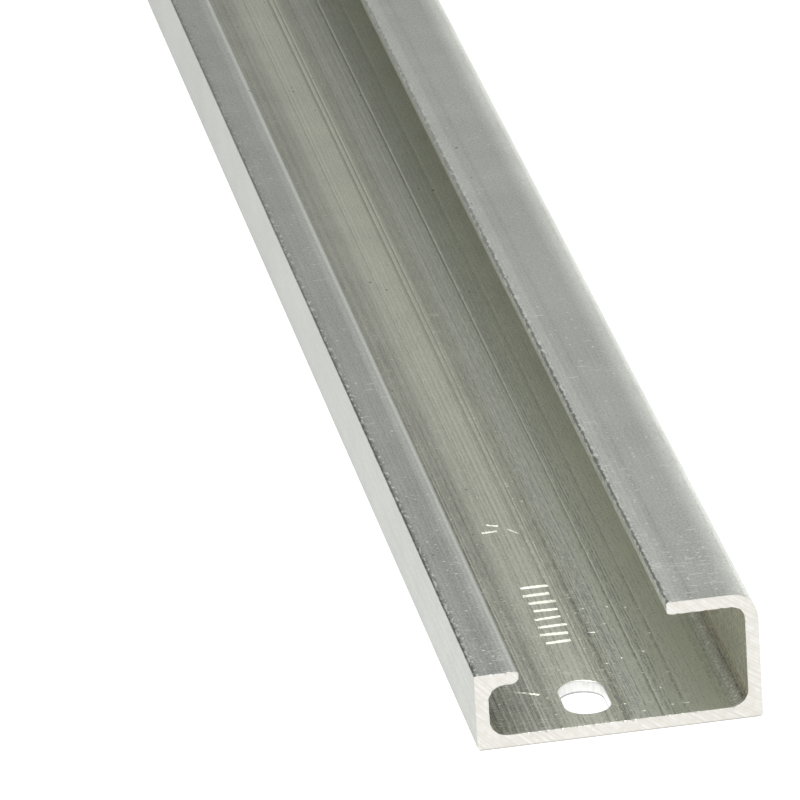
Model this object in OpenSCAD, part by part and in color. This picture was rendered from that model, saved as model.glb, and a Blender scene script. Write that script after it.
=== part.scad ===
// G-section mounting rail: one length of extruded aluminium, sawn at both ends,
// with a slotted fixing hole punched through the base near each end.
//
// +X points to the tall wall, +Y runs along the rail and +Z points up.
// The origin is at the middle of the underside.

/* [Section] */
// Overall width of the section, across both walls
section_w = 32; // [24:0.5:60]
// Height of the tall wall, and of the whole section
tall_h = 15; // [12:0.5:40]
// Height of the short wall
short_h = 9; // [7.5:0.5:20]
// Thickness of the base, of both walls and of both lips
wall = 1.5; // [0.8:0.1:2.5]
// Width of the lip on the tall wall, from the outer face of that wall
long_lip_w = 10.2; // [6:0.1:16]
// Width of the lip on the short wall, from the outer face of that wall
short_lip_w = 5; // [4.5:0.1:8]

/* [Corners] */
// Outside radius where the tall wall turns into its lip
roll_r = 3; // [2:0.1:5]
// Inside radius where the base meets each wall
base_fillet_r = 2; // [0.5:0.1:2.5]
// Inside radius under the lip of the short wall
lip_fillet_r = 1.8; // [0.5:0.1:2.2]
// Radius that breaks the sharp outer edges of the section
edge_r = 0.4; // [0.1:0.05:0.6]
// Radius on the underside of the short lip's tip
tip_r = 0.9; // [0.1:0.05:1]

/* [Length] */
// Length of the rail, between its sawn ends
rail_l = 1000; // [100:10:3000]

/* [Fixing slots] */
// Width of each slot, across the rail
slot_w = 5.2; // [3:0.1:8]
// Length of each slot, along the rail
slot_l = 9; // [8.5:0.5:14]
// Distance from a sawn end to the middle of its slot
slot_from_end = 7.5; // [6:0.5:40]

/* [Hidden] */
$fn = 64;

// How far each cutting shape runs past the faces that it cuts
cut_over = 1;

// Outer faces of the walls, and the tips of the lips
tall_x = section_w / 2;
short_x = -section_w / 2;
long_tip_x = tall_x - long_lip_w;
short_tip_x = short_x + short_lip_w;

// Undersides of the lips
long_lip_z = tall_h - wall;
short_lip_z = short_h - wall;

// The roll keeps the wall's thickness, so its inside radius follows its outside one
roll_inner_r = max(roll_r - wall, 0.1);

// The slots lie under the middle of the gap between the lips, where a screw can reach them
slot_x = (short_tip_x + long_tip_x) / 2;
slot_y = rail_l / 2 - slot_from_end;

aluminium = [0.83, 0.83, 0.80];

// Rectangle from its lowest to its highest corner
module plate_2d(low, high) {
    translate(low)
        square(high - low);
}

// The region between a right-angled corner and the round of radius r that touches both
// of its sides. toward = [+-1, +-1] points from the corner into the round, and over
// stretches the region outwards, past the corner.
module corner_2d(corner, toward, r, over = 0) {
    translate(corner)
        mirror([toward[0] < 0 ? 1 : 0, 0])
            mirror([0, toward[1] < 0 ? 1 : 0])
                difference() {
                    translate([-over, -over])
                        square(r + over);
                    translate([r, r])
                        circle(r = r);
                }
}

// Base, walls and lips, with square corners
module bars_2d() {
    plate_2d([short_x, 0], [tall_x, wall]);
    plate_2d([short_x, 0], [short_x + wall, short_h]);
    plate_2d([tall_x - wall, 0], [tall_x, tall_h]);
    plate_2d([short_x, short_lip_z], [short_tip_x, short_h]);
    plate_2d([long_tip_x, long_lip_z], [tall_x, tall_h]);
}

// Metal that rounds the inside corners
module fillets_2d() {
    corner_2d([short_x + wall, wall], [1, 1], base_fillet_r);
    corner_2d([tall_x - wall, wall], [-1, 1], base_fillet_r);
    corner_2d([short_x + wall, short_lip_z], [1, -1], lip_fillet_r);
    corner_2d([tall_x - wall, long_lip_z], [-1, -1], roll_inner_r);
}

// Metal taken off the outside corners and the tips of the lips
module edge_cuts_2d() {
    corner_2d([short_x, 0], [1, 1], edge_r, cut_over);
    corner_2d([tall_x, 0], [-1, 1], edge_r, cut_over);
    corner_2d([short_x, short_h], [1, -1], edge_r, cut_over);
    corner_2d([tall_x, tall_h], [-1, -1], roll_r, cut_over);
    corner_2d([short_tip_x, short_h], [-1, -1], min(edge_r, wall / 2), cut_over);
    corner_2d([short_tip_x, short_lip_z], [-1, 1], min(tip_r, wall - edge_r), cut_over);
    corner_2d([long_tip_x, tall_h], [1, -1], min(edge_r, wall / 2), cut_over);
    corner_2d([long_tip_x, long_lip_z], [1, 1], min(edge_r, wall / 2), cut_over);
}

// The whole section, with X across the rail and Y up it
module section_2d() {
    difference() {
        union() {
            bars_2d();
            fillets_2d();
        }
        edge_cuts_2d();
    }
}

// One slot through the base, its length along the rail
module slot_cut(y) {
    end_r = slot_w / 2;
    reach = slot_l / 2 - end_r;
    translate([slot_x, y, -cut_over]) {
        for (side = [-1, 1])
            translate([0, side * reach, 0])
                cylinder(r = end_r, h = wall + 2 * cut_over);
        translate([-end_r, -reach, 0])
            cube([slot_w, 2 * reach, wall + 2 * cut_over]);
    }
}

module rail() {
    color(aluminium)
        difference() {
            rotate([90, 0, 0])
                linear_extrude(height = rail_l, center = true)
                    section_2d();
            for (end = [-1, 1])
                slot_cut(end * slot_y);
        }
}

rail();
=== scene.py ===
# %% [markdown]
# A length of aluminium mounting rail
#
# The object is one piece: a G-shaped aluminium section, pressed hot through a steel die and
# sawn to length, with a slot punched near each end. Its look comes from how it was made:
# fine lines along the rail from the die, bright sawn ends and a few nicks from handling.
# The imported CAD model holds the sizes. This lesson builds a finer skin over it and finishes it.

import math
import random

import bmesh
import bpy
from mathutils import Matrix, Vector, noise


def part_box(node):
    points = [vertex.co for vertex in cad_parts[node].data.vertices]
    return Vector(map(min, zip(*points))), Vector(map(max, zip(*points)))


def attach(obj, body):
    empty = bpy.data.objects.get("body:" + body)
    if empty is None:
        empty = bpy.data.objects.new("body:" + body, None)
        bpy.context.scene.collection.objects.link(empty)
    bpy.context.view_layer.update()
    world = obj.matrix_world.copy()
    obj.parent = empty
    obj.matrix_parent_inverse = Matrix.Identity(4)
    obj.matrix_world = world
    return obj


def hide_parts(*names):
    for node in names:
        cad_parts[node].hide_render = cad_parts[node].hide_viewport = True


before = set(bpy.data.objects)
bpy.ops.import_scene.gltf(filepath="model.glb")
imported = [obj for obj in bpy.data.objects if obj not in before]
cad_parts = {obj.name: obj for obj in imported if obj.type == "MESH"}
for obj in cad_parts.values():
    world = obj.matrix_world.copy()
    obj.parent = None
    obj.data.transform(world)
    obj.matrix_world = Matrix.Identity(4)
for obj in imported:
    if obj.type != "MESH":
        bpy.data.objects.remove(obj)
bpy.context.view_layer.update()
rail_low, rail_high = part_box("rail")
print("rail from", tuple(rail_low), "to", tuple(rail_high))

# %% [markdown]
# Sizes
#
# Blender works in metres and a maker of rails in millimetres, so one constant turns one into
# the other. The overall width, height and length are read from the frame, and the sizes that
# a box can't tell, such as the wall and the lips, are named here once.

# %% Sizes of the section
MM = 0.001
WIDTH = rail_high.x - rail_low.x
HEIGHT = rail_high.z - rail_low.z
LENGTH = rail_high.y - rail_low.y
WALL = 1.5 * MM
SHORT_WALL_HEIGHT = 9 * MM
SHORT_LIP = 5 * MM
LONG_LIP = 10.2 * MM
ROLL_RADIUS = 3 * MM
SLOT_WIDTH = 5.2 * MM
SLOT_LENGTH = 9 * MM
SLOT_FROM_END = 7.5 * MM
SHORT_X = rail_low.x
TALL_X = rail_high.x
SHORT_TIP_X = SHORT_X + SHORT_LIP
LONG_TIP_X = TALL_X - LONG_LIP
SLOT_X = (SHORT_TIP_X + LONG_TIP_X) / 2
NEAR_Y = rail_low.y
print("section", round(WIDTH / MM, 2), "x", round(HEIGHT / MM, 2), "mm")
print("length", round(LENGTH / MM, 1), "mm")

# %% [markdown]
# The camera
#
# The rail is seen from far off through a long lens, a little from the left, so its edges
# hardly draw together. The camera is made first, because every later choice is judged through it.

# %% Camera
camera_data = bpy.data.cameras.new("camera")
camera_data.sensor_width = 36
camera_data.lens = 445.3
camera_data.clip_start = 0.05
camera_data.clip_end = 500
camera = bpy.data.objects.new("camera", camera_data)
bpy.context.scene.collection.objects.link(camera)
camera.location = (-0.1685, -1.4768, 0.4555)
look_along = Vector((0.1366, 0.9125, -0.3856)).normalized()
camera_up = Vector((0.1174, 0.3716, 0.921))
camera_right = look_along.cross(camera_up).normalized()
camera_up = camera_right.cross(look_along).normalized()
camera.rotation_mode = "QUATERNION"
camera_axes = Matrix((camera_right, camera_up, -look_along)).transposed()
camera.rotation_quaternion = camera_axes.to_quaternion()
bpy.context.scene.camera = camera
print("camera", round(camera.location.length, 2), "m from the middle of the rail")

# %% [markdown]
# The outline of the section
#
# An extruded section is one closed outline, so it starts as one flat face with a vertex at
# each corner. Every corner then gets its own radius with a vertex bevel, which is how the
# drawing of such a rail is dimensioned. Going round: base, tall wall, long lip, then back
# along the inside to the short lip. The two free corners of the lips are nearly sharp.

# %% Corners and their radii
ARC_STEPS = 8
EDGE_RADIUS = 0.4 * MM
LONG_CORNER_RADIUS = 0.25 * MM
SHORT_CORNER_RADIUS = 0.2 * MM
BASE_FILLET = 2 * MM
LIP_FILLET = 1.8 * MM
SHORT_TIP_RADIUS = 0.9 * MM
corners = [
    (SHORT_X, 0, EDGE_RADIUS),
    (TALL_X, 0, EDGE_RADIUS),
    (TALL_X, HEIGHT, ROLL_RADIUS),
    (LONG_TIP_X, HEIGHT, LONG_CORNER_RADIUS),
    (LONG_TIP_X, HEIGHT - WALL, EDGE_RADIUS),
    (TALL_X - WALL, HEIGHT - WALL, ROLL_RADIUS - WALL),
    (TALL_X - WALL, WALL, BASE_FILLET),
    (SHORT_X + WALL, WALL, BASE_FILLET),
    (SHORT_X + WALL, SHORT_WALL_HEIGHT - WALL, LIP_FILLET),
    (SHORT_TIP_X, SHORT_WALL_HEIGHT - WALL, SHORT_TIP_RADIUS),
    (SHORT_TIP_X, SHORT_WALL_HEIGHT, EDGE_RADIUS),
    (SHORT_X, SHORT_WALL_HEIGHT, SHORT_CORNER_RADIUS),
]
rail_bm = bmesh.new()
corner_verts = [rail_bm.verts.new((x, NEAR_Y, z)) for x, z, radius in corners]
rail_bm.faces.new(corner_verts)
for vert, (x, z, radius) in zip(corner_verts, corners):
    bmesh.ops.bevel(rail_bm, geom=[vert], offset=radius, offset_type="OFFSET",
                    segments=ARC_STEPS, profile=0.5, affect="VERTICES", material=-1)
print("outline of", len(rail_bm.verts), "points")

# %% [markdown]
# Die lines
#
# The die leaves fine ridges that run the whole length. They are real relief, a few thousandths
# of a millimetre high, so the straight sides of the outline are cut into short steps and
# each new point is moved a hair in or out. Because the outline is extruded afterwards, every
# moved point becomes a line along the rail. The numbers are drawn from a seeded generator,
# which gives the same rail each time. A few lines of the channel floor are deeper scores, and
# the floor under the long lip is calmer than the rest. Real die lines are closer together than
# 0.2 mm, but finer ones wouldn't show, so they are drawn at that step.

# %% Cut the straight sides
LINE_STEP = 0.2 * MM
straight = [e for e in rail_bm.edges if e.calc_length() > 4 * LINE_STEP]
for edge in straight:
    bmesh.ops.subdivide_edges(rail_bm, edges=[edge], cuts=round(edge.calc_length() / LINE_STEP) - 1)
rail_bm.faces.ensure_lookup_table()
section_face = rail_bm.faces[0]
section_face.normal_update()
print(len(straight), "straight sides cut, outline now of", len(section_face.verts), "points")

# %% Raise the die lines
HAIR = 1e-6
FLOOR_LINE = 0.006 * MM
CALM_LINE = 0.002 * MM
OUTER_LINE = 0.004 * MM
SCORE_DEPTH = 0.03 * MM
SCORE_SHARE = 0.06
CALM_FROM = 8.5 * MM
random.seed(7)


def line_height(x, z):
    """How far the die line at this point of the outline stands out, in metres."""
    on_floor = abs(z - WALL) < HAIR and abs(x) < WIDTH / 2 - WALL
    fine = random.uniform(-1, 1)
    scored = random.random() > 1 - SCORE_SHARE
    height = OUTER_LINE * (fine - 1)
    if on_floor:
        height = FLOOR_LINE * fine
        if x > CALM_FROM:
            height = CALM_LINE * fine
        elif scored:
            height = -SCORE_DEPTH
    return height


loop_verts = [loop.vert for loop in section_face.loops]
count = len(loop_verts)
shifts = []
for i, vert in enumerate(loop_verts):
    before = loop_verts[i - 1].co
    after = loop_verts[(i + 1) % count].co
    along = (after - before).normalized()
    shifts.append((vert, Vector((along.z, 0, -along.x)), line_height(vert.co.x, vert.co.z)))
outward = -1 if section_face.normal.y > 0 else 1
for vert, normal, height in shifts:
    vert.co += normal * height * outward
print("die lines on", count, "points, outward", outward)

# %% [markdown]
# From the outline to the rail
#
# One face extrude pulls the outline along the rail, as the press does. It goes in steps that
# are short near both ends, so the sawn rim has vertices of its own. The saw tears small bites
# out of the inside edges, where its teeth leave the metal. Smooth noise says where, so one
# bite spans several vertices, and only the two end rings get them.

# %% Extrude the section along the rail
end_steps = [0.08 * MM, 0.35 * MM, 1.2 * MM]
steps = end_steps + [LENGTH - 2 * sum(end_steps)] + end_steps[::-1]
front = section_face
for step in steps:
    made = bmesh.ops.extrude_face_region(rail_bm, geom=[front])
    moved = [g for g in made["geom"] if isinstance(g, bmesh.types.BMVert)]
    bmesh.ops.translate(rail_bm, vec=(0, step, 0), verts=moved)
    ahead = [g for g in made["geom"] if isinstance(g, bmesh.types.BMFace)][0]
    if front is not section_face:
        rail_bm.faces.remove(front)
    front = ahead
bmesh.ops.recalc_face_normals(rail_bm, faces=rail_bm.faces[:])
rail_bm.normal_update()
print("rail of", len(rail_bm.faces), "faces")

# %% Bites torn out by the saw
BITE = 0.4 * MM
BITE_WIDTH = 0.45 * MM
RIM = 0.9 * WALL
bites = 0
for vert in rail_bm.verts:
    at_end = abs(abs(vert.co.y) - LENGTH / 2) < HAIR
    inside_x = abs(vert.co.x) < WIDTH / 2 - RIM
    inside_z = RIM < vert.co.z < HEIGHT - RIM
    torn = noise.noise(vert.co / BITE_WIDTH)
    if at_end and inside_x and inside_z and torn > 0:
        out_of_metal = Vector((vert.normal.x, 0, vert.normal.z)).normalized()
        vert.co -= out_of_metal * BITE * torn
        bites += 1
print(bites, "bites, at most", round(BITE / MM, 2), "mm deep")

# %% Make the rail an object
rail_mesh = bpy.data.meshes.new("g_rail")
rail_bm.to_mesh(rail_mesh)
rail_bm.free()
rail = bpy.data.objects.new("g_rail", rail_mesh)
bpy.context.scene.collection.objects.link(rail)
print("piece", rail.name, "of", len(rail_mesh.vertices), "points")

# %% [markdown]
# Slots and punch marks
#
# Each slot is punched, so its mouth is drawn in a little and its wall is bright. A cutter with
# the slot's shape, flared at the top, takes it out in one Boolean. The same Boolean also
# sinks a row of plain short strokes behind the near slot, a batch tally made with a blunt
# chisel, and the nicks and small scuffs that the floor near the end picks up when screws and
# tools slip. A stroke is a four-sided cone that lies in the floor's surface, so its lower
# half leaves a shallow V.

# %% Slot cutters
SLOT_RIM = 0.15 * MM
SLOT_SIDES = 72
RIM_STEPS = 8
CUT_BELOW = 1 * MM
CUT_ABOVE = 0.5 * MM


def slot_ring(bm, radius, y, z):
    """A slot-shaped ring of edges: a circle pulled apart along the rail."""
    reach = (SLOT_LENGTH - SLOT_WIDTH) / 2
    turn = Matrix.Translation((SLOT_X, 0, z)) @ Matrix.Rotation(math.pi / SLOT_SIDES, 4, "Z")
    verts = bmesh.ops.create_circle(bm, segments=SLOT_SIDES, radius=radius, matrix=turn)["verts"]
    for vert in verts:
        vert.co.y += y + math.copysign(reach, vert.co.y)
    return list({edge for vert in verts for edge in vert.link_edges})


def slot_cutter(bm, y):
    """A slot-shaped cutter, flared at its mouth to leave the rim a little round."""
    profile = [(0, -CUT_BELOW), (0, WALL - SLOT_RIM)]
    for i in range(1, RIM_STEPS + 1):
        a = math.pi / 2 * i / RIM_STEPS
        profile.append((SLOT_RIM * (1 - math.cos(a)), WALL - SLOT_RIM * (1 - math.sin(a))))
    profile.append((SLOT_RIM, WALL + CUT_ABOVE))
    rings = [slot_ring(bm, SLOT_WIDTH / 2 + flare, y, z) for flare, z in profile]
    for below, above in zip(rings, rings[1:]):
        bmesh.ops.bridge_loops(bm, edges=below + above)
    bmesh.ops.contextual_create(bm, geom=rings[0])
    bmesh.ops.contextual_create(bm, geom=rings[-1])


def stroke_cutter(bm, x, y, length, turn, width=0.62, depth=0.15, taper=1.0):
    """A stroke on the channel floor, in millimetres from the rail's middle and near end."""
    place = Matrix.Translation((x * MM, NEAR_Y + y * MM, WALL))
    heading = Matrix.Rotation(math.radians(turn), 4, "Z")
    lying = Matrix.Rotation(math.pi / 2, 4, "Y")
    shape = place @ heading @ lying @ Matrix.Diagonal((depth * MM, width / 2 * MM, 1, 1))
    bmesh.ops.create_cone(bm, cap_ends=True, segments=4, radius1=taper, radius2=1,
                          depth=length * MM, matrix=shape)


# %% Slots and the tally
TALLY_STROKES = 8
TALLY_STEP = 2.25
TALLY_X = -2.5
TALLY_START = 23
TALLY_LENGTH = 3.2
cutter_bm = bmesh.new()
for sign in (-1, 1):
    slot_cutter(cutter_bm, sign * (LENGTH / 2 - SLOT_FROM_END))
for i in range(TALLY_STROKES):
    x = TALLY_X + random.uniform(-0.2, 0.2)
    length = TALLY_LENGTH + random.uniform(-0.5, 0.3)
    turn = random.uniform(-5, 5)
    stroke_cutter(cutter_bm, x, TALLY_START + TALLY_STEP * i, length, turn, random.uniform(0.55, 0.85))
print("tally of", TALLY_STROKES, "strokes,", TALLY_STEP, "mm apart")

# %% Nicks and scuffs
nicks = [
    {"x": -4.5, "y": 55.6, "length": 1.8, "turn": 4, "width": 0.6, "depth": 0.12},
    {"x": -3.9, "y": 57.4, "length": 1.5, "turn": -30, "width": 0.4, "depth": 0.1},
    {"x": -1.9, "y": 55.1, "length": 2.0, "turn": -58, "width": 0.26, "depth": 0.08},
    {"x": -8.9, "y": 10.5, "length": 3.8, "turn": -33, "width": 0.5, "depth": 0.12, "taper": 0.25},
]
for nick in nicks:
    stroke_cutter(cutter_bm, **nick)
SCUFF_COLUMNS = 5
SCUFF_ROWS = 7
SCUFF_STEP_X = 1.6
SCUFF_STEP_Y = 4.5
SCUFF_START_X = 1.3
SCUFF_START_Y = 3.2
SCUFF_SHARE = 0.45
scuff_count = 0
for column in range(SCUFF_COLUMNS):
    for row in range(SCUFF_ROWS):
        x = SCUFF_START_X + SCUFF_STEP_X * column + random.uniform(-0.3, 0.3)
        y = SCUFF_START_Y + SCUFF_STEP_Y * row + random.uniform(-1.6, 1.6)
        length = random.uniform(0.3, 0.9)
        turn = random.uniform(-20, 40)
        if random.random() < SCUFF_SHARE:
            stroke_cutter(cutter_bm, x, y, length, turn, width=0.3, depth=0.1, taper=0.3)
            scuff_count += 1
print(len(nicks), "nicks and", scuff_count, "scuffs")

# %% Cut them all
SMOOTH_UP_TO = math.radians(15)
bmesh.ops.recalc_face_normals(cutter_bm, faces=cutter_bm.faces[:])
open_edges = sum(not edge.is_manifold for edge in cutter_bm.edges)
print("cutter of", len(cutter_bm.faces), "faces, open edges:", open_edges)
cutter_mesh = bpy.data.meshes.new("cutters")
cutter_bm.to_mesh(cutter_mesh)
cutter_bm.free()
cutter = bpy.data.objects.new("cutters", cutter_mesh)
bpy.context.scene.collection.objects.link(cutter)
cut = rail.modifiers.new("slots", "BOOLEAN")
cut.operation = "DIFFERENCE"
cut.solver = "EXACT"
cut.object = cutter
bpy.context.view_layer.update()
evaluated = rail.evaluated_get(bpy.context.evaluated_depsgraph_get())
finished = bpy.data.meshes.new_from_object(evaluated)
rail.modifiers.clear()
rail.data = finished
bpy.data.objects.remove(cutter)
finished.name = "g_rail"
finished.shade_smooth()
finished.set_sharp_from_angle(angle=SMOOTH_UP_TO)
print("rail after the slots:", len(finished.polygons), "faces")

# %% [markdown]
# Helpers for the materials
#
# Colours are given as they look on a screen, so one function turns them into the linear values
# that nodes use. Another adds a node, sets its properties, and sets or links its sockets. All
# the patterns are laid out in millimetres, so their sizes can be read off a real rail.

# %% Colour and node helpers
def linear(hex_colour):
    """A hex colour as it looks on screen, as the linear RGBA that nodes use."""
    parts = [int(hex_colour[i:i + 2], 16) / 255 for i in (1, 3, 5)]
    return [c / 12.92 if c <= 0.04045 else ((c + 0.055) / 1.055) ** 2.4 for c in parts] + [1]


def add_node(tree, kind, inputs=None, **settings):
    """Adds a node. Each input, by name or number, takes a plain value, a socket or a node."""
    node = tree.nodes.new(kind)
    for name, value in settings.items():
        setattr(node, name, value)
    for key, value in (inputs or {}).items():
        if isinstance(value, bpy.types.Node):
            value = value.outputs[0]
        if isinstance(value, bpy.types.NodeSocket):
            tree.links.new(value, node.inputs[key])
        else:
            node.inputs[key].default_value = value
    return node


def new_material(name):
    """An empty material that will be built from nodes."""
    material = bpy.data.materials.new(name)
    material.use_nodes = True
    material.node_tree.nodes.clear()
    return material


def fill_ramp(ramp, stops):
    """Gives a colour ramp these grey stops, as pairs of place and level."""
    for position, level in stops[1:-1]:
        ramp.elements.new(position)
    for element, (position, level) in zip(ramp.elements, stops):
        element.position = position
        element.color = (level, level, level, 1)


# %% [markdown]
# Mill finish: where things are on the section
#
# Mill finish is aluminium as it leaves the press: bare metal, never brushed or anodised. The
# outside is pale and neutral. The inside of the channel cools slower and keeps an olive film
# of oxide. Which of the two a point has depends only on its place in the section, so the
# first nodes turn its position into millimetres and work out whether it is inside: below the
# lips, under a slanting roof from one lip to the other, and between the walls. The ends of a
# rail are handled most, so the distance from the nearer end is worked out here too.

# %% Place in the section
mill = new_material("mill_finish_aluminium")
tree = mill.node_tree
object_place = add_node(tree, "ShaderNodeTexCoord").outputs["Object"]
mm_place = add_node(tree, "ShaderNodeMapping", {
    "Vector": object_place, "Scale": (1000, 1000, 1000)})
split = add_node(tree, "ShaderNodeSeparateXYZ", {"Vector": mm_place})
across, along, up = split.outputs
half_width = WIDTH / 2 / MM
INSIDE_BY = 1.2
roof = add_node(tree, "ShaderNodeMapRange", {
    "Value": across, "From Min": -6.0, "From Max": 0.0,
    "To Min": SHORT_WALL_HEIGHT / MM - 0.8, "To Max": HEIGHT / MM - 0.3})
depth = add_node(tree, "ShaderNodeMath", {0: roof, 1: up}, operation="SUBTRACT")
below_roof = add_node(tree, "ShaderNodeMapRange", {
    "Value": depth, "From Min": 0.0, "From Max": 0.7})
offset = add_node(tree, "ShaderNodeMath", {0: across}, operation="ABSOLUTE")
between_walls = add_node(tree, "ShaderNodeMapRange", {
    "Value": offset, "From Min": half_width - INSIDE_BY, "From Max": half_width - INSIDE_BY - 0.4})
channel = add_node(tree, "ShaderNodeMath", {0: below_roof, 1: between_walls}, operation="MULTIPLY")
reach_along = add_node(tree, "ShaderNodeMath", {0: along}, operation="ABSOLUTE")
from_end = add_node(tree, "ShaderNodeMath", {
    0: LENGTH / 2 / MM, 1: reach_along}, operation="SUBTRACT")
handled = add_node(tree, "ShaderNodeMapRange", {
    "Value": from_end, "From Min": 75.0, "From Max": 15.0})
print("the channel's inside reaches", round(half_width - INSIDE_BY, 2), "mm from the middle")

# %% [markdown]
# Mill finish: bands and lines
#
# Every stretch of the die's land wears in its own way, so the metal comes out in bands along the rail,
# some paler and some duller. Two ramps on the distance across the rail hold those bands, one for the
# channel and one for the lips and outer walls. The channel's ramp also holds painted light and shade:
# it climbs from the dim left of the channel to a paler floor under the long lip, and drops to painted
# shade in the fillet and up the inside of the tall wall. Their stops were chosen in millimetres from
# the rail's middle. Over them lie the die lines: noise that is a fraction of a millimetre wide and
# nearly a metre long.

# %% Bands across the rail
share_across = add_node(tree, "ShaderNodeMapRange", {
    "Value": across, "From Min": -half_width, "From Max": half_width})


def band_stops(bands):
    """Turns pairs of millimetres across the rail and level into stops for a ramp."""
    return [(x / (2 * half_width) + 0.5, level) for x, level in bands]


# Painted light in this ramp: a paler floor under the long lip, and painted shade in the fillet and on
# the tall wall's inside.
channel_band_and_painted_light = add_node(tree, "ShaderNodeValToRGB", {"Fac": share_across})
fill_ramp(channel_band_and_painted_light.color_ramp, band_stops([
    (-16, 0.62), (-6.0, 0.66), (-4.9, 0.88), (-1.5, 0.9), (-1.15, 0.7), (-0.7, 0.9),
    (0.4, 0.74), (1.3, 0.74), (2.3, 0.93), (3.0, 0.9), (3.8, 0.97), (5.2, 0.95), (5.7, 0.84),
    (6.6, 0.9), (9.0, 0.97), (11.6, 0.92), (12.4, 0.84), (13.4, 0.6), (14.0, 0.48),
    (14.4, 0.56), (16, 0.56)]))
outer_band = add_node(tree, "ShaderNodeValToRGB", {"Fac": share_across})
fill_ramp(outer_band.color_ramp, band_stops([
    (-16, 0.47), (-15.5, 0.57), (-15.1, 0.64), (-12.8, 0.65), (-12.1, 0.76), (-11.75, 0.77),
    (-11.55, 1.0), (5.8, 0.8), (6.0, 0.8), (6.6, 0.85), (7.3, 0.85), (7.6, 0.76), (8.4, 0.76),
    (8.75, 0.68), (9.1, 0.75), (12.3, 0.75), (13.2, 0.88), (13.8, 0.98), (14.5, 0.84),
    (16, 0.76)]))
band = add_node(tree, "ShaderNodeMix", {
    0: channel, 6: outer_band, 7: channel_band_and_painted_light}, data_type="RGBA").outputs[2]
print("bands:", len(channel_band_and_painted_light.color_ramp.elements), "stops in the channel,",
      len(outer_band.color_ramp.elements), "outside")

# %% [markdown]
# Mill finish: lines, streaks and grain
#
# Real die lines are a few hundredths of a millimetre wide and the grain of the metal is finer
# still, too fine to show from here, so both are drawn coarser: lines of 0.22 mm and grain of
# 0.3 mm. Short streaks break the lines up where metal stuck to the die. Each pattern adds or
# takes away a small share of the light. The lips and walls have fainter lines than the
# channel, and the floor under the long lip has fainter lines but more blotches. The ends are a
# little rougher from handling, and the lines fade away from them.

# %% Die lines
LINE_LENGTH = 900
FINE_WIDTH = 0.22
BROAD_WIDTH = 1.1
line_place = add_node(tree, "ShaderNodeMapping", {
    "Vector": mm_place, "Scale": (1, 1 / LINE_LENGTH, 1)})
fine_lines = add_node(tree, "ShaderNodeTexNoise", {
    "Vector": line_place, "Scale": 1 / FINE_WIDTH, "Detail": 2.0, "Roughness": 0.7})
broad_lines = add_node(tree, "ShaderNodeTexNoise", {
    "Vector": line_place, "Scale": 1 / BROAD_WIDTH, "Detail": 3.0})
fine = add_node(tree, "ShaderNodeMapRange", {
    "Value": fine_lines, "From Min": 0.36, "From Max": 0.64,
    "To Min": -0.17, "To Max": 0.15})
broad = add_node(tree, "ShaderNodeMapRange", {
    "Value": broad_lines, "From Min": 0.35, "From Max": 0.65,
    "To Min": -0.06, "To Max": 0.06})
lines = add_node(tree, "ShaderNodeMath", {0: fine, 1: broad}, operation="ADD")
print("die lines", FINE_WIDTH, "and", BROAD_WIDTH, "mm wide")

# %% Streaks, stronger on the right half
STREAK_WIDTH = 0.16
STREAK_LENGTH = 1.8
streak_place = add_node(tree, "ShaderNodeMapping", {
    "Vector": mm_place, "Scale": (1 / STREAK_WIDTH, 1 / STREAK_LENGTH, 1 / STREAK_WIDTH)})
streaks = add_node(tree, "ShaderNodeTexNoise", {
    "Vector": streak_place, "Scale": 1.0, "Detail": 2.0})
streak = add_node(tree, "ShaderNodeMapRange", {
    "Value": streaks, "From Min": 0.35, "From Max": 0.7,
    "To Min": -0.07, "To Max": 0.1})
right_side = add_node(tree, "ShaderNodeMapRange", {
    "Value": across, "From Min": -0.5, "From Max": 1.0,
    "To Min": 1.0, "To Max": 1.7})
streak = add_node(tree, "ShaderNodeMath", {0: streak, 1: right_side}, operation="MULTIPLY")
lines = add_node(tree, "ShaderNodeMath", {0: lines, 1: streak}, operation="ADD")
print("streaks", STREAK_WIDTH, "mm wide and", STREAK_LENGTH, "mm long")

# %% Where the lines are fainter
line_share = add_node(tree, "ShaderNodeMapRange", {"Value": channel, "To Min": 0.4, "To Max": 1.0})
lines = add_node(tree, "ShaderNodeMath", {0: lines, 1: line_share}, operation="MULTIPLY")
calm = add_node(tree, "ShaderNodeMapRange", {
    "Value": across, "From Min": 6.5, "From Max": 10.0,
    "To Min": 1.0, "To Max": 0.45})
lines = add_node(tree, "ShaderNodeMath", {0: lines, 1: calm}, operation="MULTIPLY")
softer = add_node(tree, "ShaderNodeMapRange", {
    "Value": from_end, "From Min": 40.0, "From Max": 160.0,
    "To Min": 1.25, "To Max": 0.4})
lines = add_node(tree, "ShaderNodeMath", {0: lines, 1: softer}, operation="MULTIPLY")
print("lines fade to", round(softer.inputs["To Max"].default_value, 2), "away from the ends")

# %% Grain and clouds
GRAIN_SIZE = 0.3
CLOUD_SIZE = 9
grain = add_node(tree, "ShaderNodeTexNoise", {
    "Vector": mm_place, "Scale": 1 / GRAIN_SIZE, "Detail": 2.0})
mottle = add_node(tree, "ShaderNodeTexNoise", {
    "Vector": mm_place, "Scale": 1 / CLOUD_SIZE, "Detail": 5.0})
sand = add_node(tree, "ShaderNodeMapRange", {
    "Value": grain, "From Min": 0.3, "From Max": 0.7,
    "To Min": -0.1, "To Max": 0.1})
cloud = add_node(tree, "ShaderNodeMapRange", {
    "Value": mottle, "From Min": 0.3, "From Max": 0.7,
    "To Min": -0.05, "To Max": 0.05})
rougher_end = add_node(tree, "ShaderNodeMapRange", {"Value": handled, "To Min": 1.0, "To Max": 1.5})
sand = add_node(tree, "ShaderNodeMath", {0: sand, 1: rougher_end}, operation="MULTIPLY")
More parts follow.
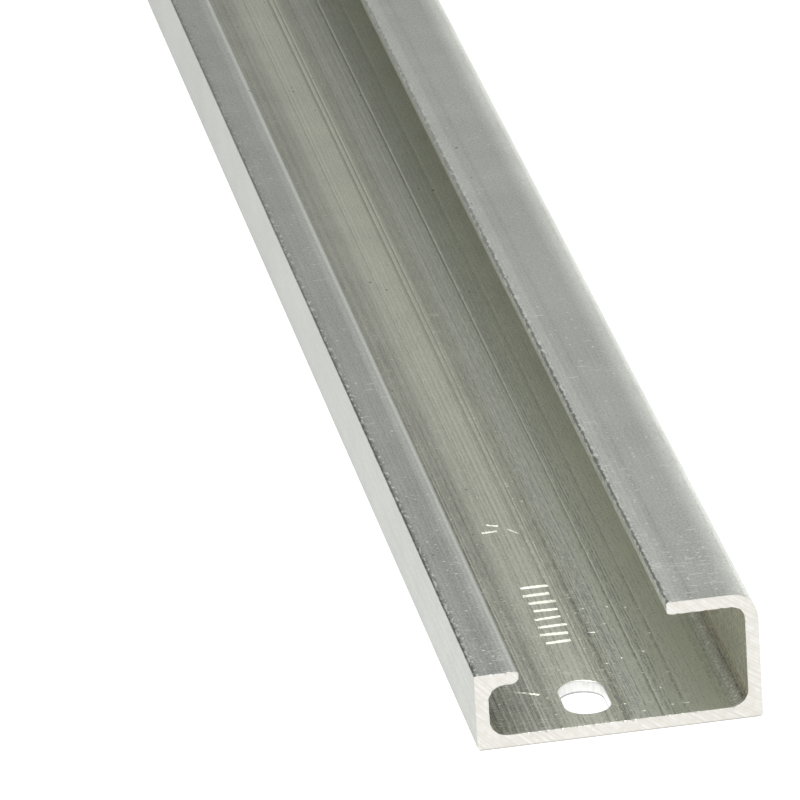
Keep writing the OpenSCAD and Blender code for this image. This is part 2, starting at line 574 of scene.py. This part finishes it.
under_lip = add_node(tree, "ShaderNodeMapRange", {
    "Value": across, "From Min": 5.0, "From Max": 9.0,
    "To Min": 1.0, "To Max": 1.3})
blotchy = add_node(tree, "ShaderNodeMix", {0: channel, 2: 1.0, 3: under_lip}, data_type="FLOAT")
sand = add_node(tree, "ShaderNodeMath", {0: sand, 1: blotchy}, operation="MULTIPLY")
spots = add_node(tree, "ShaderNodeMath", {0: sand, 1: cloud}, operation="ADD")
print("grain", GRAIN_SIZE, "mm and clouds", CLOUD_SIZE, "mm across")

# %% All of them together, fainter on the outer walls
relief = add_node(tree, "ShaderNodeMath", {0: lines, 1: spots}, operation="ADD")
off_wall = add_node(tree, "ShaderNodeMapRange", {
    "Value": offset, "From Min": half_width - 0.1, "From Max": half_width - 0.4,
    "To Min": 0.35})
relief = add_node(tree, "ShaderNodeMath", {0: relief, 1: off_wall}, operation="MULTIPLY")
print("lines and grain from", len(tree.nodes), "nodes so far")

# %% [markdown]
# Mill finish: specks, scratches and pits
#
# Rails are stacked and dragged over each other, so the soft metal picks up bright specks and
# short scratches across the rail, and a tool that slips beside a slot scuffs it. Each kind is
# a Voronoi pattern. A cell's random colour gives its mark a size, and the mark is drawn where
# the cell's middle is nearer than that. A Mapping node stretches the cells of scratches and
# scuffs, and its turn only shuffles them, so that they don't lie in rows. A few dark pits are
# made in the same way. The outer faces of the walls have no marks.

# %% Bright specks, bigger near the ends
SPECK_CELL = 0.8
SPECK_REACH = 0.24
HANDLED_GROWTH = 0.2
speck_cells = add_node(tree, "ShaderNodeTexVoronoi", {"Vector": mm_place, "Scale": 1 / SPECK_CELL})
speck_size = add_node(tree, "ShaderNodeSeparateColor", {"Color": speck_cells.outputs["Color"]})
speck_size = add_node(tree, "ShaderNodeMath", {
    0: handled, 1: HANDLED_GROWTH, 2: speck_size}, operation="MULTIPLY_ADD")
speck_reach = add_node(tree, "ShaderNodeMapRange", {
    "Value": speck_size, "From Min": 0.6, "From Max": 1.0,
    "To Min": 0.0, "To Max": SPECK_REACH})
speck_gap = add_node(tree, "ShaderNodeMath", {0: speck_reach, 1: speck_cells}, operation="SUBTRACT")
specks = add_node(tree, "ShaderNodeMapRange", {"Value": speck_gap, "From Min": 0.0, "From Max": 0.03})
print("specks up to", round(2 * SPECK_REACH * SPECK_CELL, 2), "mm across")

# %% Scratches
SCRATCH_CELL = (4, 0.5, 4)
SCRATCH_REACH = 0.2
SCRATCH_SHUFFLE = math.radians(62)
scratch_place = add_node(tree, "ShaderNodeMapping", {
    "Vector": mm_place, "Rotation": (0, 0, SCRATCH_SHUFFLE),
    "Scale": [1 / size for size in SCRATCH_CELL]})
scratch_cells = add_node(tree, "ShaderNodeTexVoronoi", {"Vector": scratch_place, "Scale": 1.0})
scratch_size = add_node(tree, "ShaderNodeSeparateColor", {"Color": scratch_cells.outputs["Color"]})
scratch_reach = add_node(tree, "ShaderNodeMapRange", {
    "Value": scratch_size, "From Min": 0.6, "From Max": 1.0,
    "To Min": 0.0, "To Max": SCRATCH_REACH})
scratch_gap = add_node(tree, "ShaderNodeMath", {
    0: scratch_reach, 1: scratch_cells}, operation="SUBTRACT")
scratches = add_node(tree, "ShaderNodeMapRange", {
    "Value": scratch_gap, "From Min": 0.0, "From Max": 0.04})
print("scratches up to", round(2 * SCRATCH_REACH * SCRATCH_CELL[0], 2), "mm long")

# %% Scuffs beside the slots
SCUFF_CELL = (2.5, 0.3, 2.5)
SCUFF_REACH = 0.38
SCUFF_SHUFFLE = math.radians(-28)
scuff_place = add_node(tree, "ShaderNodeMapping", {
    "Vector": mm_place, "Rotation": (0, 0, SCUFF_SHUFFLE),
    "Scale": [1 / size for size in SCUFF_CELL]})
scuff_cells = add_node(tree, "ShaderNodeTexVoronoi", {"Vector": scuff_place, "Scale": 1.0})
scuff_size = add_node(tree, "ShaderNodeSeparateColor", {"Color": scuff_cells.outputs["Color"]})
near_slot = add_node(tree, "ShaderNodeMapRange", {
    "Value": from_end, "From Min": 26.0, "From Max": 10.0,
    "To Min": 0.0, "To Max": SCUFF_REACH})
scuff_reach = add_node(tree, "ShaderNodeMath", {0: near_slot, 1: scuff_size}, operation="MULTIPLY")
scuff_gap = add_node(tree, "ShaderNodeMath", {0: scuff_reach, 1: scuff_cells}, operation="SUBTRACT")
scuffs = add_node(tree, "ShaderNodeMapRange", {
    "Value": scuff_gap, "From Min": 0.0, "From Max": 0.08,
    "To Min": 0.0, "To Max": 0.7})
scratches = add_node(tree, "ShaderNodeMath", {0: scratches, 1: scuffs}, operation="MAXIMUM")
knocks = add_node(tree, "ShaderNodeMath", {0: specks, 1: scratches}, operation="MAXIMUM")
print("scuffs up to", round(2 * SCUFF_REACH * SCUFF_CELL[0], 2), "mm long")

# %% Pits
PIT_CELL = 1.6
PIT_REACH = 0.14
knock_place = add_node(tree, "ShaderNodeMapRange", {
    "Value": offset, "From Min": half_width - 0.1, "From Max": half_width - 0.4})
pit_cells = add_node(tree, "ShaderNodeTexVoronoi", {"Vector": mm_place, "Scale": 1 / PIT_CELL})
pit_size = add_node(tree, "ShaderNodeSeparateColor", {"Color": pit_cells.outputs["Color"]})
pit_reach = add_node(tree, "ShaderNodeMapRange", {
    "Value": pit_size, "From Min": 0.8, "From Max": 1.0,
    "To Min": 0.0, "To Max": PIT_REACH})
pit_gap = add_node(tree, "ShaderNodeMath", {0: pit_reach, 1: pit_cells}, operation="SUBTRACT")
pits = add_node(tree, "ShaderNodeMapRange", {
    "Value": pit_gap, "From Min": 0.0, "From Max": 0.03,
    "To Min": 0.0, "To Max": 0.8})
pits = add_node(tree, "ShaderNodeMath", {0: pits, 1: knock_place}, operation="MULTIPLY")
print("pits up to", round(2 * PIT_REACH * PIT_CELL, 2), "mm across")

# %% [markdown]
# Mill finish: the lips' free corners
#
# The two free corners of the lips are where the die is thinnest. It chatters there, and leaves a
# ragged dark line with bright burrs beside it. The line is drawn by the distance from a point just
# inside each corner, made uneven by noise, and it is thinner on the short lip. The two bottom corners,
# where the rail lies on the paper, get a softer dark line drawn by the distance from the corner: a
# painted contact shadow.

# %% Ragged dark lines
SHORT_LINE_IN = 0.12
LONG_LINE_IN = 0.08
SHORT_LINE_THINNER = 0.07
CHATTER_CELL = (0.5, 1.3, 0.5)
RAGGEDNESS = 0.9
flat_place = add_node(tree, "ShaderNodeMapping", {"Vector": mm_place, "Scale": (1, 0, 1)})
short_corner = (SHORT_X / MM + SHORT_LINE_IN, 0, SHORT_WALL_HEIGHT / MM)
long_corner = (LONG_TIP_X / MM + LONG_LINE_IN, 0, HEIGHT / MM)
to_short = add_node(tree, "ShaderNodeVectorMath", {
    0: flat_place, 1: short_corner}, operation="DISTANCE")
to_long = add_node(tree, "ShaderNodeVectorMath", {
    0: flat_place, 1: long_corner}, operation="DISTANCE")
thinner = add_node(tree, "ShaderNodeMath", {
    0: to_short.outputs["Value"], 1: SHORT_LINE_THINNER}, operation="ADD")
to_corner = add_node(tree, "ShaderNodeMath", {
    0: thinner, 1: to_long.outputs["Value"]}, operation="MINIMUM")
chatter_place = add_node(tree, "ShaderNodeMapping", {
    "Vector": mm_place, "Scale": [1 / size for size in CHATTER_CELL]})
chatter = add_node(tree, "ShaderNodeTexNoise", {
    "Vector": chatter_place, "Scale": 1.0, "Detail": 3.0, "Roughness": 0.7})
ragged = add_node(tree, "ShaderNodeMath", {
    0: chatter, 1: RAGGEDNESS, 2: to_corner}, operation="MULTIPLY_ADD")
near_corner = add_node(tree, "ShaderNodeMapRange", {
    "Value": ragged, "From Min": 0.7, "From Max": 0.57})
line_depth = add_node(tree, "ShaderNodeMapRange", {
    "Value": from_end, "From Min": 70.0, "From Max": 150.0,
    "To Min": 0.68, "To Max": 0.3})
dark_line = add_node(tree, "ShaderNodeMath", {0: near_corner, 1: line_depth}, operation="MULTIPLY")
print("dark lines at x", round(short_corner[0], 2), "and", round(long_corner[0], 2), "mm")

# %% Burrs beside them, and all the bright marks
beside = add_node(tree, "ShaderNodeMapRange", {"Value": to_corner, "From Min": 0.7, "From Max": 0.5})
burr_spots = add_node(tree, "ShaderNodeMapRange", {
    "Value": chatter, "From Min": 0.54, "From Max": 0.58})
burrs = add_node(tree, "ShaderNodeMath", {0: beside, 1: burr_spots}, operation="MULTIPLY")
bright_marks = add_node(tree, "ShaderNodeMath", {0: knocks, 1: burrs}, operation="MAXIMUM")
bright_marks = add_node(tree, "ShaderNodeMath", {
    0: bright_marks, 1: knock_place}, operation="MULTIPLY")
bright_share = add_node(tree, "ShaderNodeMapRange", {
    "Value": from_end, "From Min": 80.0, "From Max": 180.0,
    "To Min": 1.0, "To Max": 0.35})
bright_marks = add_node(tree, "ShaderNodeMath", {
    0: bright_marks, 1: bright_share}, operation="MULTIPLY")
print("bright marks fade to", round(bright_share.inputs["To Max"].default_value, 2))

# %% The bottom corners' painted contact shadow, and all the dark marks
side_place = add_node(tree, "ShaderNodeCombineXYZ", {"X": offset, "Z": up})
to_bottom = add_node(tree, "ShaderNodeVectorMath", {
    0: side_place, 1: (half_width, 0, 0)}, operation="DISTANCE")
# Painted shadow: within half a millimetre of each bottom outer corner the metal is darkened, up to
# half way to the dark level.
bottom_contact_shadow = add_node(tree, "ShaderNodeMapRange", {
    "Value": to_bottom.outputs["Value"], "From Min": 0.5, "From Max": 0.3,
    "To Min": 0.0, "To Max": 0.5})
dark_marks_and_shadow = add_node(tree, "ShaderNodeMath", {0: dark_line, 1: bottom_contact_shadow}, operation="MAXIMUM")
dark_marks_and_shadow = add_node(tree, "ShaderNodeMath", {0: dark_marks_and_shadow, 1: pits}, operation="MAXIMUM")
print("marks and lines from", len(tree.nodes), "nodes so far")

# %% [markdown]
# Mill finish: the shader
#
# The band sets how much light the metal throws back, and the lines and grain shift it a little. A
# painted light falloff takes a share away: none at the ends, more and more away from them, and most on
# the right half of the channel. The bright marks lift the metal to bare aluminium, and the dark ones,
# with the painted contact shadow along the bottom corners, dull it. A tint makes the outside nearly
# neutral, the film olive, and the inside of the tall wall straw. Bare aluminium scatters light at a
# roughness of about 0.4, a bit more where a line is dark, and the finest relief, with the marks
# standing out of it, is a bump on a scale of 0.02 mm.

# %% Painted light falloff along the rail
# Painted light falloff: away from each end the metal is darkened, by up to 0.12, and by up to 0.18 on
# the right half of the channel.
falloff_along = add_node(tree, "ShaderNodeMapRange", {
    "Value": from_end, "From Min": 10.0, "From Max": 210.0})
right_half = add_node(tree, "ShaderNodeMapRange", {
    "Value": across, "From Min": -1.0, "From Max": 3.0})
right_channel = add_node(tree, "ShaderNodeMath", {0: right_half, 1: channel}, operation="MULTIPLY")
falloff_depth = add_node(tree, "ShaderNodeMapRange", {
    "Value": right_channel, "To Min": 0.12, "To Max": 0.18})
painted_falloff_share = add_node(tree, "ShaderNodeMath", {0: falloff_along, 1: falloff_depth}, operation="MULTIPLY")
painted_light_level = add_node(tree, "ShaderNodeMath", {0: 1.0, 1: painted_falloff_share}, operation="SUBTRACT")
print("the film takes up to", round(falloff_depth.inputs["To Max"].default_value, 2), "of the light")

# %% How much light comes back, and its tint
BARE_METAL = 1.0
# The dark level serves the real dark marks and also the painted contact shadow along the bottom
# corners.
DARK_METAL_AND_SHADOW = 0.1
OUTSIDE_TINT = "#FBFEF6"
LEFT_FILM = "#FBFDED"
RIGHT_FILM = "#FAFDF4"
WALL_FILM = "#FFF9DF"
reflect = add_node(tree, "ShaderNodeMath", {0: band, 1: relief}, operation="ADD")
reflect = add_node(tree, "ShaderNodeMath", {
    0: reflect, 1: painted_light_level}, operation="MULTIPLY", use_clamp=True)
reflect = add_node(tree, "ShaderNodeMix", {
    0: bright_marks, 2: reflect, 3: BARE_METAL}, data_type="FLOAT")
reflect = add_node(tree, "ShaderNodeMix", {
    0: dark_marks_and_shadow, 2: reflect, 3: DARK_METAL_AND_SHADOW}, data_type="FLOAT")
floor_share = add_node(tree, "ShaderNodeMapRange", {
    "Value": across, "From Min": 0.5, "From Max": 2.5})
wall_share = add_node(tree, "ShaderNodeMapRange", {
    "Value": across, "From Min": 13.0, "From Max": 14.3})
film = add_node(tree, "ShaderNodeMix", {
    0: floor_share, 6: linear(LEFT_FILM), 7: linear(RIGHT_FILM)}, data_type="RGBA").outputs[2]
film = add_node(tree, "ShaderNodeMix", {
    0: wall_share, 6: film, 7: linear(WALL_FILM)}, data_type="RGBA").outputs[2]
tint = add_node(tree, "ShaderNodeMix", {
    0: channel, 6: linear(OUTSIDE_TINT), 7: film}, data_type="RGBA").outputs[2]
metal_colour = add_node(tree, "ShaderNodeVectorMath", {
    0: tint, "Scale": reflect}, operation="SCALE")
print("tints", OUTSIDE_TINT, "outside and", LEFT_FILM, "to", WALL_FILM, "inside")

# %% Mill finish shader
MARK_HEIGHT = 3.0
rough = add_node(tree, "ShaderNodeMapRange", {
    "Value": relief, "From Min": -0.2, "From Max": 0.2,
    "To Min": 0.44, "To Max": 0.36})
bump_height = add_node(tree, "ShaderNodeMath", {0: fine_lines, 1: grain}, operation="ADD")
bump_height = add_node(tree, "ShaderNodeMath", {
    0: bright_marks, 1: MARK_HEIGHT, 2: bump_height}, operation="MULTIPLY_ADD")
bump = add_node(tree, "ShaderNodeBump", {
    "Height": bump_height, "Strength": 0.35, "Distance": 0.02 * MM})
metal = add_node(tree, "ShaderNodeBsdfPrincipled", {
    "Base Color": metal_colour, "Metallic": 1.0, "Roughness": rough, "Normal": bump})
add_node(tree, "ShaderNodeOutputMaterial", {"Surface": metal})
finished.materials.append(mill)
print("mill finish from", len(tree.nodes), "nodes")

# %% [markdown]
# Sawn ends
#
# A circular saw leaves the ends bright, with arcs as wide as the feed of one tooth. The arcs all have
# the blade's centre, so the pattern is noise on the distance from a point well outside the section.
# The feed is about 0.1 mm, too fine to show, so the arcs are drawn 0.3 mm wide. Soft smears break them
# up. Fresh aluminium is a warmer white than the film that grows on it. The lowest tenth of a
# millimetre, where the end stands on the paper, is darkened as a painted contact shadow.

# %% Saw arcs and smears
ARC_WIDTH = 0.3
SMEAR_SIZE = 0.8
BLADE_CENTRE = (75, 0, 95)
sawn = new_material("sawn_aluminium")
tree = sawn.node_tree
object_place = add_node(tree, "ShaderNodeTexCoord").outputs["Object"]
mm_place = add_node(tree, "ShaderNodeMapping", {
    "Vector": object_place, "Scale": (1000, 1000, 1000)})
blade_plane = add_node(tree, "ShaderNodeMapping", {"Vector": mm_place, "Scale": (1, 0, 1)})
blade = add_node(tree, "ShaderNodeVectorMath", {
    0: blade_plane, 1: BLADE_CENTRE}, operation="DISTANCE")
arcs = add_node(tree, "ShaderNodeTexNoise", {
    "W": blade.outputs["Value"], "Scale": 1 / ARC_WIDTH, "Detail": 2.0}, noise_dimensions="1D")
smear = add_node(tree, "ShaderNodeTexNoise", {
    "Vector": mm_place, "Scale": 1 / SMEAR_SIZE, "Detail": 3.0})
arc_share = add_node(tree, "ShaderNodeMapRange", {
    "Value": arcs, "From Min": 0.35, "From Max": 0.62})
smear_share = add_node(tree, "ShaderNodeMapRange", {
    "Value": smear, "From Min": 0.3, "From Max": 0.6})
fresh = add_node(tree, "ShaderNodeMath", {0: arc_share, 1: smear_share}, operation="MULTIPLY")
print("saw arcs", ARC_WIDTH, "mm wide around", BLADE_CENTRE)

# %% Sawn aluminium
RUBBED_METAL = "#D9D6CE"
FRESH_METAL = "#E7E6E2"
fresh_metal = add_node(tree, "ShaderNodeMix", {
    0: fresh, 6: linear(RUBBED_METAL), 7: linear(FRESH_METAL)}, data_type="RGBA").outputs[2]
sawn_split = add_node(tree, "ShaderNodeSeparateXYZ", {"Vector": mm_place})
# Painted contact shadow: the sawn face darkens to half towards its bottom edge.
sawn_contact_shadow = add_node(tree, "ShaderNodeMapRange", {
    "Value": sawn_split.outputs["Z"], "From Min": 0.03, "From Max": 0.16,
    "To Min": 0.5, "To Max": 1.0})
sawn_colour = add_node(tree, "ShaderNodeVectorMath", {
    0: fresh_metal, "Scale": sawn_contact_shadow}, operation="SCALE")
arc_bump = add_node(tree, "ShaderNodeBump", {
    "Height": arcs, "Strength": 0.3, "Distance": 0.03 * MM})
metal = add_node(tree, "ShaderNodeBsdfPrincipled", {
    "Base Color": sawn_colour, "Metallic": 1.0, "Roughness": 0.5, "Normal": arc_bump})
add_node(tree, "ShaderNodeOutputMaterial", {"Surface": metal})
finished.materials.append(sawn)
print("sawn aluminium from", len(tree.nodes), "nodes")

# %% [markdown]
# Punched metal
#
# The slots' walls are metal that a punch has sheared. It is the brightest metal on the rail, smoother
# than the sawn ends, with faint upright lines where the punch slid through, a quarter of a millimetre
# wide so that they show. At the bottom, where the wall stands on the paper, it is darkened as a
# painted contact shadow.

# %% Punched aluminium
DRAG_LINES_PER_METRE = (4000, 4000, 700)
PUNCHED_METAL = "#FCFCFA"
punched = new_material("punched_aluminium")
tree = punched.node_tree
object_place = add_node(tree, "ShaderNodeTexCoord").outputs["Object"]
drag_place = add_node(tree, "ShaderNodeMapping", {
    "Vector": object_place, "Scale": DRAG_LINES_PER_METRE})
drag = add_node(tree, "ShaderNodeTexNoise", {"Vector": drag_place, "Scale": 1.0, "Detail": 2.0})
drag_share = add_node(tree, "ShaderNodeMapRange", {
    "Value": drag, "From Min": 0.3, "From Max": 0.6,
    "To Min": 0.88, "To Max": 1.0})
drag_split = add_node(tree, "ShaderNodeSeparateXYZ", {"Vector": object_place})
# Painted contact shadow: over the lowest 0.1 to 0.22 mm the wall darkens from 0.92 to 0.4.
wall_level_and_contact_shadow = add_node(tree, "ShaderNodeMapRange", {
    "Value": drag_split.outputs["Z"], "From Min": 0.1 * MM, "From Max": 0.22 * MM,
    "To Min": 0.4, "To Max": 0.92})
wall_level_and_contact_shadow = add_node(tree, "ShaderNodeMath", {0: wall_level_and_contact_shadow, 1: drag_share}, operation="MULTIPLY")
punched_colour = add_node(tree, "ShaderNodeVectorMath", {
    0: linear(PUNCHED_METAL)[:3], "Scale": wall_level_and_contact_shadow}, operation="SCALE")
metal = add_node(tree, "ShaderNodeBsdfPrincipled", {
    "Base Color": punched_colour, "Metallic": 1.0, "Roughness": 0.42})
add_node(tree, "ShaderNodeOutputMaterial", {"Surface": metal})
finished.materials.append(punched)
print("punched aluminium from", len(tree.nodes), "nodes")

# %% [markdown]
# Which face gets which finish
#
# Faces of the end rings that look along the rail are sawn. Faces inside the thickness of the
# base are punched: the slots' walls, and the little end faces of the strokes. The sloping
# sides of the strokes keep the mill finish, so they show by their shape alone.

# %% Give each face its material
MILL, SAWN, PUNCHED = range(3)
UNDERSIDE = 0.01 * MM
GROOVE_LEVEL = WALL - 0.045 * MM
for polygon in finished.polygons:
    near_end = LENGTH / 2 - abs(polygon.center.y) < end_steps[0]
    at_end = near_end and abs(polygon.normal.y) > 0.5
    over_base = abs(polygon.center.x) < WIDTH / 2 - WALL
    in_base = over_base and UNDERSIDE < polygon.center.z < GROOVE_LEVEL
    if at_end:
        polygon.material_index = SAWN
    elif in_base:
        polygon.material_index = PUNCHED
for index, name in ((MILL, "mill"), (SAWN, "sawn"), (PUNCHED, "punched")):
    print(name, sum(polygon.material_index == index for polygon in finished.polygons), "faces")

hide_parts("rail")
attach(rail, "root")

# %% [markdown]
# The floor
#
# The rail lies on white paper that runs on to the horizon. Paper is dull, so it is nearly all
# diffuse. Some emission keeps it white everywhere, since soft light alone leaves it grey.

# %% Floor
FLOOR_REACH = 200
PAPER = "#BCBCBC"
PAPER_GLOW = 0.68
floor_bm = bmesh.new()
bmesh.ops.create_grid(floor_bm, x_segments=1, y_segments=1, size=FLOOR_REACH)
floor_mesh = bpy.data.meshes.new("floor")
floor_bm.to_mesh(floor_mesh)
floor_bm.free()
floor = bpy.data.objects.new("floor", floor_mesh)
bpy.context.scene.collection.objects.link(floor)
paper = new_material("white_paper")
tree = paper.node_tree
matt = add_node(tree, "ShaderNodeBsdfPrincipled", {
    "Base Color": linear(PAPER), "Roughness": 0.9, "Specular IOR Level": 0.1,
    "Emission Color": linear("#FFFFFF"), "Emission Strength": PAPER_GLOW})
add_node(tree, "ShaderNodeOutputMaterial", {"Surface": matt})
floor_mesh.materials.append(paper)
print("floor", 2 * FLOOR_REACH, "m across")

# %% [markdown]
# The light
#
# Metal shows what stands around it, so the studio matters as much as the finish. The sky
# is bright low down and overhead, and dim between, which greys the lips and the channel
# floor and lights the roll and the outer walls. Its left side is dark lower down, which deepens
# the dark line on the short lip's corner, but right at the horizon all of it is white, so the
# paper runs into the sky unseen. A softbox overhead and one at the left, which shines in under
# the long lip, fill the rest.

# %% Studio sky
world = bpy.data.worlds.new("studio")
bpy.context.scene.world = world
world.use_nodes = True
tree = world.node_tree
tree.nodes.clear()
where = add_node(tree, "ShaderNodeTexCoord").outputs["Generated"]
split = add_node(tree, "ShaderNodeSeparateXYZ", {"Vector": where})
sky = add_node(tree, "ShaderNodeValToRGB", {"Fac": split.outputs["Z"]})
fill_ramp(sky.color_ramp, [(0.0, 1.0), (0.14, 0.85), (0.27, 0.37), (0.42, 0.22), (0.62, 0.33),
                           (0.8, 1.0), (1.0, 1.2)])
side = add_node(tree, "ShaderNodeMapRange", {
    "Value": split.outputs["X"], "From Min": -0.5, "From Max": 0.05,
    "To Min": 0.25, "To Max": 1.0})
high_up = add_node(tree, "ShaderNodeMapRange", {
    "Value": split.outputs["Z"], "From Min": 0.3, "From Max": 0.6})
haze = add_node(tree, "ShaderNodeMapRange", {
    "Value": split.outputs["Z"], "From Min": 0.03, "From Max": 0.01})
even_share = add_node(tree, "ShaderNodeMath", {0: high_up, 1: haze}, operation="MAXIMUM")
side_level = add_node(tree, "ShaderNodeMix", {0: even_share, 2: side, 3: 1.0}, data_type="FLOAT")
back = add_node(tree, "ShaderNodeBackground", {"Color": sky, "Strength": side_level})
add_node(tree, "ShaderNodeOutputWorld", {"Surface": back})
print("sky from", len(tree.nodes), "nodes")


# %% Softboxes
def softbox(name, place, aim, width, height, brightness):
    """A rectangular lamp at place, turned to aim, with this radiance over its whole face."""
    data = bpy.data.lights.new(name, "AREA")
    data.shape = "RECTANGLE"
    data.size = width
    data.size_y = height
    data.energy = brightness * math.pi * width * height
    lamp = bpy.data.objects.new(name, data)
    lamp.location = place
    lamp.rotation_euler = (Vector(aim) - Vector(place)).to_track_quat("-Z", "Y").to_euler()
    lamp.visible_camera = False
    bpy.context.scene.collection.objects.link(lamp)
    print(name, "softbox", width, "x", height, "m")


softbox("overhead", (-0.3, -0.6, 1.2), (0, -0.4, 0), width=2, height=1.4, brightness=0.6)
softbox("left", (-0.45, -0.8, 0.38), (0, -0.47, 0), width=0.6, height=0.45, brightness=3.5)

# %% [markdown]
# Colours on screen
#
# The Standard view shows colours as they are, without the soft shoulder of a film curve, so
# white paper stays white.

# %% View transform
bpy.context.scene.view_settings.view_transform = "Standard"
print("view transform", bpy.context.scene.view_settings.view_transform)
